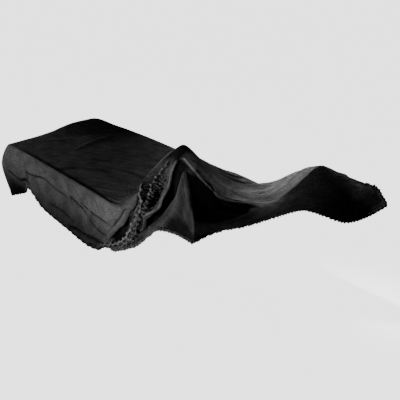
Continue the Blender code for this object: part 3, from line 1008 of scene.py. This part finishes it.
def knit_material(name, dark, light, gauge, bump, uv_name=None):
    """Black knit whose pattern follows the UV map, or the object where there is none."""
    material = bpy.data.materials.new(name)
    material.use_nodes = True
    tree = material.node_tree
    if uv_name:
        source = tree.nodes.new("ShaderNodeUVMap")
        source.uv_map = uv_name
        vector = source.outputs["UV"]
    else:
        vector = tree.nodes.new("ShaderNodeTexCoord").outputs["Object"]
    pattern = tree.nodes.new("ShaderNodeGroup")
    pattern.node_tree = knit
    fill(tree, pattern, Vector=vector, Wale=gauge[0], Course=gauge[1])
    tone = new_node(tree, "ShaderNodeValToRGB", Fac=pattern.outputs["Tone"])
    for stop, place, value in zip(tone.color_ramp.elements, (0.41, 0.59), (dark, light)):
        stop.position = place
        stop.color = (value, value, value + 0.0005, 1.0)  # a trace cooler than neutral
    colour = tone.outputs["Color"]
    rough = new_node(tree, "ShaderNodeMapRange", Value=pattern.outputs["Tone"], To_Min=0.82, To_Max=0.95)
    wrinkles = new_node(tree, "ShaderNodeBump", Strength=0.6, Distance=0.006,
                        Height=pattern.outputs["Drag"])
    loops = new_node(tree, "ShaderNodeBump", Strength=bump, Distance=0.0004,
                     Height=pattern.outputs["Height"], Normal=wrinkles.outputs["Normal"])
    fill(tree, tree.nodes["Principled BSDF"], Metallic=0.0, Specular_IOR_Level=0.02, Sheen_Weight=0.004,
         Sheen_Roughness=0.6, Roughness=rough.outputs["Result"], Normal=loops.outputs["Normal"],
         Base_Color=paint_fold_shade(tree, colour) if uv_name else colour)
    return material


# %% Materials on the pieces
GAUGE = (0.0011, 0.0009)  # a wale and a course, in metres
TIGHT_GAUGE = (0.0007, 0.0006)
flat_knit = knit_material("black_stretch_knit", 0.011, 0.034, GAUGE, 0.5, "flat_cloth")
strip_knit = knit_material("black_strip_knit", 0.012, 0.024, GAUGE, 0.5)
# Painted light: rolled cloth gets a lighter tone for the light that the rolls catch
rolled_knit_painted_light = knit_material("black_rolled_knit_painted_light", 0.032, 0.052, GAUGE, 0.5)
elastic_knit = knit_material("black_elastic_hem", 0.020, 0.034, TIGHT_GAUGE, 0.6)
KNIT_OF = {"cover_sheet": flat_knit, "shirred_cloth": flat_knit, "turned_strip": strip_knit,
           "thin_roll": rolled_knit_painted_light, "lip_roll": rolled_knit_painted_light,
           "gathered_hem_left": rolled_knit_painted_light, "gathered_hem_right": rolled_knit_painted_light}
for piece in [sheet] + rolls:
    piece.data.materials.append(KNIT_OF.get(piece.name, elastic_knit))
print("materials:", {piece.name: piece.data.materials[0].name for piece in [sheet] + rolls})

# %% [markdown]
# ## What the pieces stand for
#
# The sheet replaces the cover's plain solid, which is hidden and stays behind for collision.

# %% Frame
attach(sheet, "root")
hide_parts("cover_cloth")
for piece in rolls:
    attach(piece, "root")

# %% [markdown]
# ## Studio
#
# A pale floor meets a sky of the same tone, so hardly a line shows where it ends. The camera sees
# both glow, but they light the cloth only weakly, so that the folds keep their depth.

# %% Floor
FLOOR_GLOW = 2.7  # seen by the camera alone, so that it doesn't light the cloth from below
FLOOR_GAP = 0.002  # of air below the cover, in metres
floor_level = min(v.co.z for v in sheet.data.vertices) - FLOOR_GAP
bpy.ops.mesh.primitive_plane_add(size=60.0, location=(0.0, 0.0, floor_level))
floor = bpy.context.active_object
floor.name = "floor"
bpy.ops.object.transform_apply(location=True, rotation=True, scale=True)
floor_paint = bpy.data.materials.new("pale_floor")
floor_paint.use_nodes = True
paint = floor_paint.node_tree
seen = new_node(paint, "ShaderNodeLightPath").outputs["Is Camera Ray"]
fill(paint, paint.nodes["Principled BSDF"], Base_Color=(0.18, 0.18, 0.18, 1.0), Roughness=0.9,
     Specular_IOR_Level=0.0, Emission_Color=(1.0, 1.0, 1.0, 1.0),
     Emission_Strength=maths(paint, "MULTIPLY", seen, FLOOR_GLOW))
floor.data.materials.append(floor_paint)
print("floor at, mm:", round(floor_level / MM))

# %% Sky
SKY = 0.07  # what the sky lights with
SKY_SEEN = 2.6  # what the camera sees of it on top of that, to match the floor
world = bpy.data.worlds.new("studio")
world.use_nodes = True
air = world.node_tree
sky_seen = new_node(air, "ShaderNodeLightPath").outputs["Is Camera Ray"]
fill(air, air.nodes["Background"], Color=(1.0, 1.0, 1.0, 1.0),
     Strength=maths(air, "ADD", maths(air, "MULTIPLY", sky_seen, SKY_SEEN), SKY))
bpy.context.scene.world = world
print("sky strength:", SKY)

# %% [markdown]
# ## Lights
#
# A low soft key from the left does most of the work. Six weaker lamps with narrow beams lift what it
# misses: the fan, the raised flap, the near skirt, the edges that face away, the lip and the far
# slope. A wide lamp would fill the hollow and the folds, which have to stay black.

# %% Lights
def soft_light(name, place, aim, size, power, spread):
    """An area light that points at a spot, with its beam held to a spread in degrees."""
    data = bpy.data.lights.new(name, "AREA")
    data.shape = "RECTANGLE"
    data.spread = math.radians(spread)
    data.size, data.size_y = size
    data.energy = power
    lamp = bpy.data.objects.new(name, data)
    lamp.location = place
    lamp.rotation_euler = (Vector(aim) - Vector(place)).to_track_quat("-Z", "Y").to_euler()
    bpy.context.scene.collection.objects.link(lamp)
    return lamp


LIGHTS = (  # name, place, aim, size, power in watts, beam in degrees
    ("left key", (-4.60, -1.30, 0.30), (0.15, 0.0, 0.0), (0.9, 0.25), 7.0, 24.0),
    ("fan light", (0.62, -2.59, 0.17), (0.25, -0.14, 0.02), (0.16, 0.2), 0.55, 8.0),
    ("flap light", (-0.90, 0.15, 0.99), (0.38, 0.15, 0.03), (0.10, 0.10), 0.5, 7.5),
    ("skirt light", (0.09, -1.40, 0.16), (-0.04, -0.14, -0.02), (0.55, 0.07), 0.31, 5.5),
    ("rim", (-1.35, 1.25, 0.30), (0.28, 0.09, 0.03), (0.25, 0.25), 0.33, 10.0),
    ("lip light", (0.75, -0.75, 0.75), (0.275, -0.03, 0.068), (0.08, 0.08), 0.04, 5.2),
    ("slope light", (0.60, 0.45, 0.90), (0.32, 0.06, 0.02), (0.08, 0.08), 0.075, 8.0),
)
lamps = [soft_light(*row) for row in LIGHTS]
print("lamps:", [lamp.name for lamp in lamps])

# %% [markdown]
# ## Camera
#
# The camera looks down at the cover from the right of its near side, with a slight roll, from about a
# metre and a half away.

# %% Camera
AZIMUTH, ELEVATION, ROLL = math.radians(-49.4), math.radians(23.9), math.radians(1.0)
STANDS_AT = (1.116, -0.7425, 0.5058)
ahead = Vector((math.sin(AZIMUTH) * math.cos(ELEVATION), math.cos(AZIMUTH) * math.cos(ELEVATION),
                -math.sin(ELEVATION)))
level = Vector((math.cos(AZIMUTH), -math.sin(AZIMUTH), 0.0))
upright = level.cross(ahead)
right = math.cos(ROLL) * level + math.sin(ROLL) * upright
top = -math.sin(ROLL) * level + math.cos(ROLL) * upright
camera = bpy.data.objects.new("camera", bpy.data.cameras.new("camera"))
camera.data.sensor_width = 36.0
camera.data.lens = 60.75
camera.data.clip_start = 0.01
place = Matrix((right, top, -ahead)).transposed().to_4x4()
place.translation = Vector(STANDS_AT)
camera.matrix_world = place
bpy.context.scene.collection.objects.link(camera)
bpy.context.scene.camera = camera
print("camera to origin, m:", round(Vector(STANDS_AT).length, 2))
